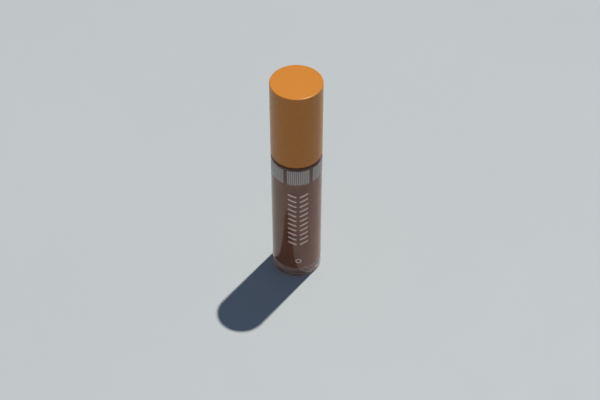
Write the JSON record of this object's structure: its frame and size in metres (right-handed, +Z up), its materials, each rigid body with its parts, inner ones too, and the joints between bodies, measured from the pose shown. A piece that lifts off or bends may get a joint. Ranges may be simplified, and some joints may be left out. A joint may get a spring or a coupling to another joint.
{
  "type": "lip gloss tube",
  "caption": "Round clear bottle of gloss with a tall plain screw cap that carries a flocked wand through a wiper in the neck.",
  "frame": {"origin": "centre of the base, on the surface that the tube stands on", "axes": "+Z up along the tube towards the cap; +X the side that the applicator's slanted face looks to"},
  "size_m": [0.018, 0.018, 0.087],
  "materials": {
    "clear_plastic": "polished clear, thick walled",
    "gloss": "creamy mauve brown gloss",
    "wiper_plastic": "soft natural polyethylene",
    "seal_foam": "matt closed-cell foam",
    "stem_plastic": "smooth natural polypropylene",
    "applicator_plastic": "soft elastomer",
    "flock": "short nylon flock, wet with gloss",
    "liner_plastic": "natural polypropylene",
    "cap_lacquer": "satin orange lacquer",
    "ink": "screen-printed off-white ink on the bottle"
  },
  "bodies": {
    "bottle": {"bottle": "clear_plastic", "gloss_fill": "gloss", "wiper": "wiper_plastic"},
    "seal": {"seal_washer": "seal_foam"},
    "wand": {"stem": "stem_plastic", "applicator_core": "applicator_plastic", "applicator_flock": "flock"},
    "cap": {"cap_liner": "liner_plastic", "cap_shell": "cap_lacquer"}
  },
  "joints": [
    {"name": "wand_pull", "type": "slide", "parent": "bottle", "child": "seal", "axis": [0, 0, 1], "range_m": [0, 0.066]},
    {"name": "thread_rise", "type": "slide", "parent": "seal", "child": "wand", "axis": [0, 0, 1], "range_m": [0, 0.005]},
    {"name": "cap_turn", "type": "hinge", "parent": "wand", "child": "cap", "pos_m": [0, 0, 0.07], "axis": [0, 0, 1], "range_deg": [0, 720]}
  ],
  "couplings": [
    {"joint": "cap_turn", "follows": "thread_rise", "rad_per_m": 2513.3}
  ]
}
